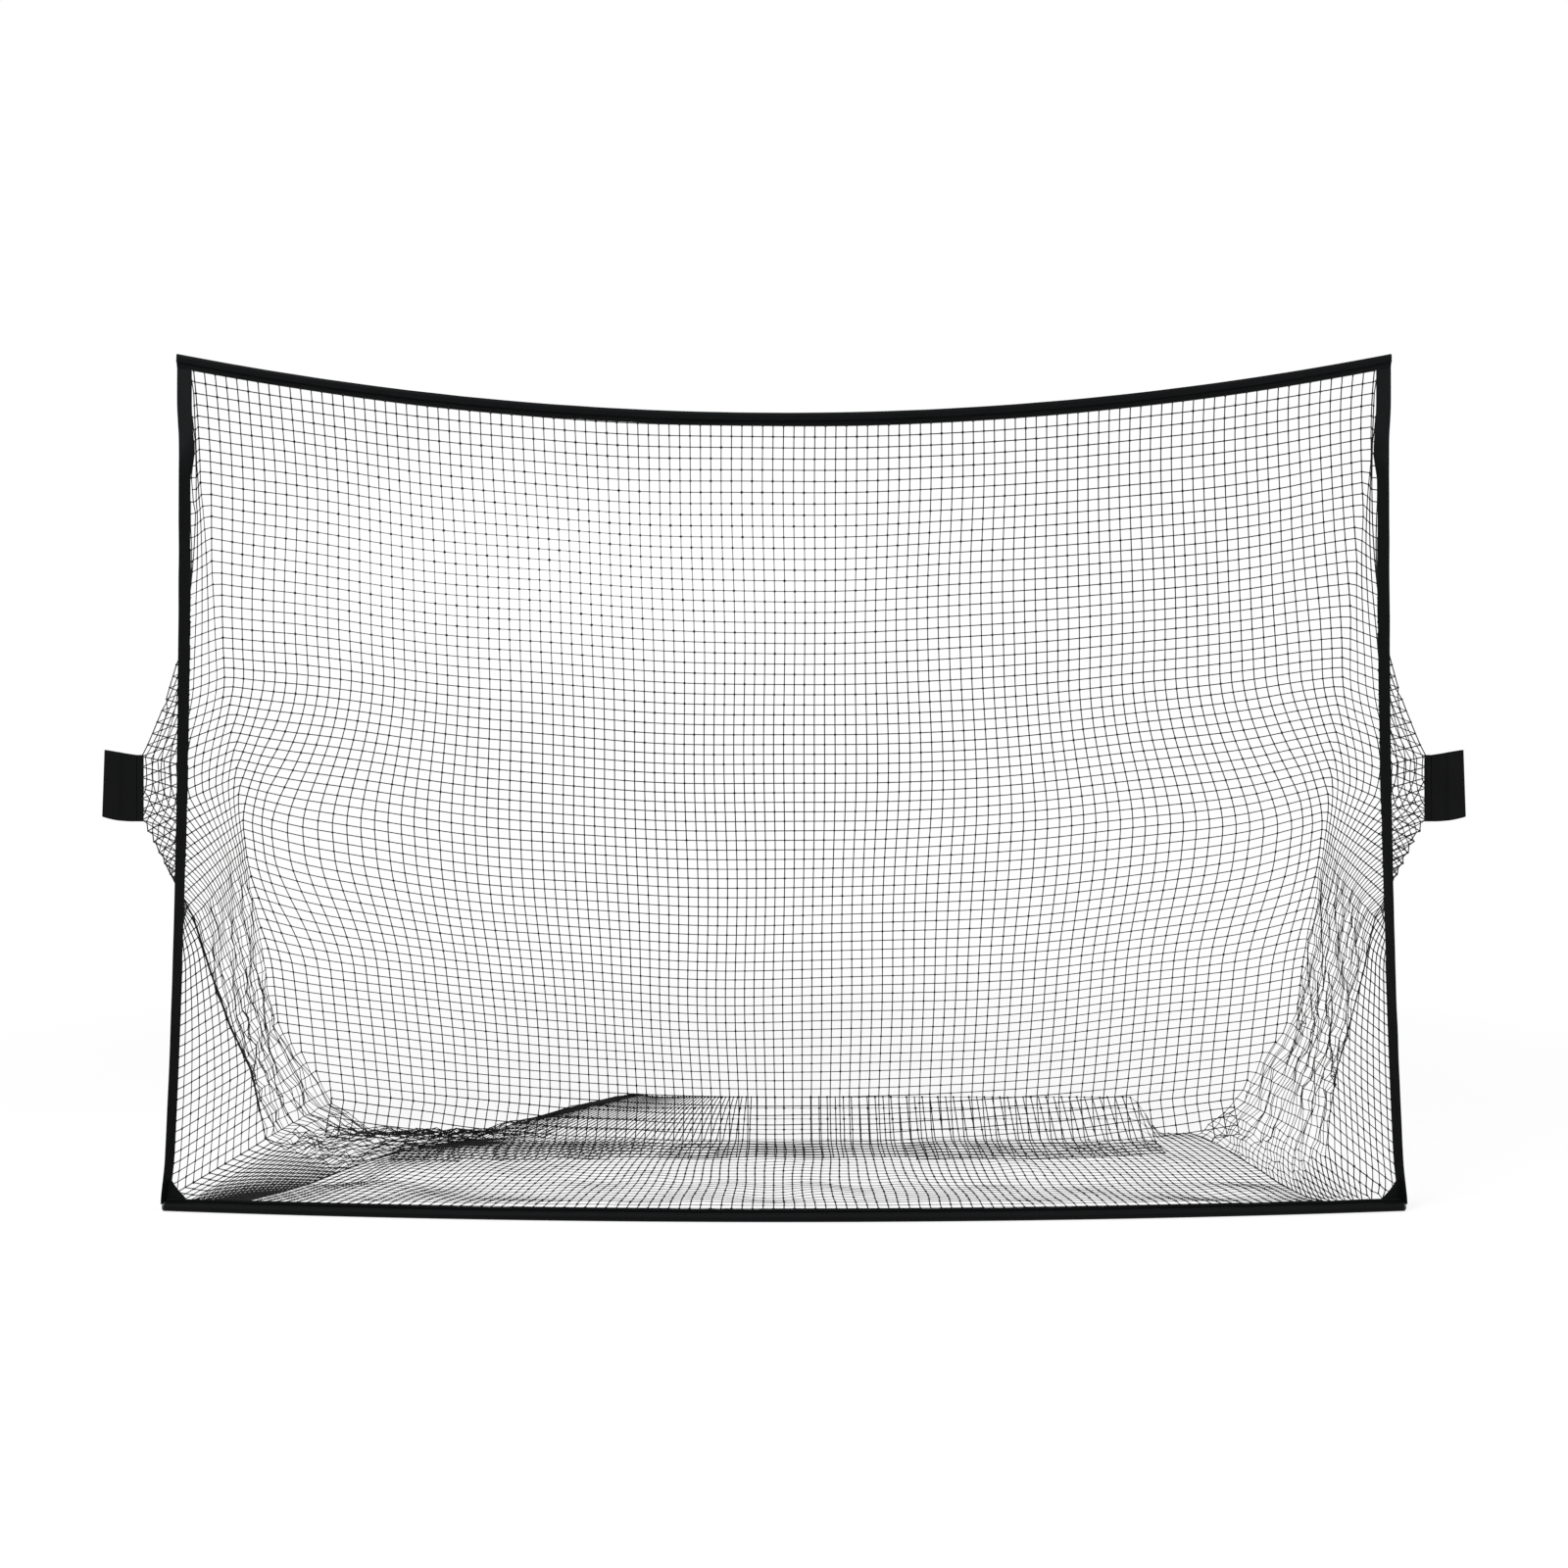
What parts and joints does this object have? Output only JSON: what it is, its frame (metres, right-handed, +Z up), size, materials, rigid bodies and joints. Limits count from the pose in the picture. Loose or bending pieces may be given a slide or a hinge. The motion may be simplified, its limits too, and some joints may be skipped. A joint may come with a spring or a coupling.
{
  "type": "golf chipping net",
  "caption": "Square-mesh golf catch net with sloping back, floor and bulging side nets, fabric edge sleeves, a bowed base rail and swinging side pole tabs.",
  "frame": {"origin": "on the ground, under the middle of the whole net's box", "axes": "+X to the player's right, +Y away from the player, +Z up"},
  "size_m": [3.4994, 0.8413, 2.1334],
  "materials": {
    "sleeve_cloth": "black coated oxford cloth, fine plain weave",
    "netting": "black knotted square-mesh twine",
    "tab_cloth": "black oxford cloth, folded and stitched",
    "edge_rope": "braided off-white rope",
    "tube_steel": "zinc-plated steel tube",
    "bushing_plastic": "black moulded plastic"
  },
  "bodies": {
    "net": {"top_sleeve": "sleeve_cloth", "top_edge_rope": "edge_rope", "bottom_sleeve": "sleeve_cloth", "left_sleeve": "sleeve_cloth", "right_sleeve": "sleeve_cloth", "left_corner_gusset": "sleeve_cloth", "right_corner_gusset": "sleeve_cloth", "base_tube_left": "tube_steel", "base_tube_center": "tube_steel", "base_tube_right": "tube_steel", "base_ferrule_left": "tube_steel", "base_ferrule_right": "tube_steel", "base_bushing_left": "bushing_plastic", "base_bushing_right": "bushing_plastic", "back_net": "netting", "back_flap": "netting", "floor_net": "netting", "floor_ramp": "netting", "left_side_net_front": "netting", "left_side_net_rear": "netting", "right_side_net_front": "netting", "right_side_net_rear": "netting", "left_tab_seam": "tab_cloth", "right_tab_seam": "tab_cloth"},
    "left_tab": {"left_pole_tab": "tab_cloth"},
    "right_tab": {"right_pole_tab": "tab_cloth"}
  },
  "joints": [
    {"name": "left_tab_swing", "type": "hinge", "parent": "net", "child": "left_tab", "pos_m": [-1.66466, -0.17691, 1.042], "axis": [0, 0, -1], "range_deg": [-80, 80]},
    {"name": "right_tab_swing", "type": "hinge", "parent": "net", "child": "right_tab", "pos_m": [1.66466, -0.17691, 1.042], "axis": [0, 0, 1], "range_deg": [-80, 80]}
  ]
}
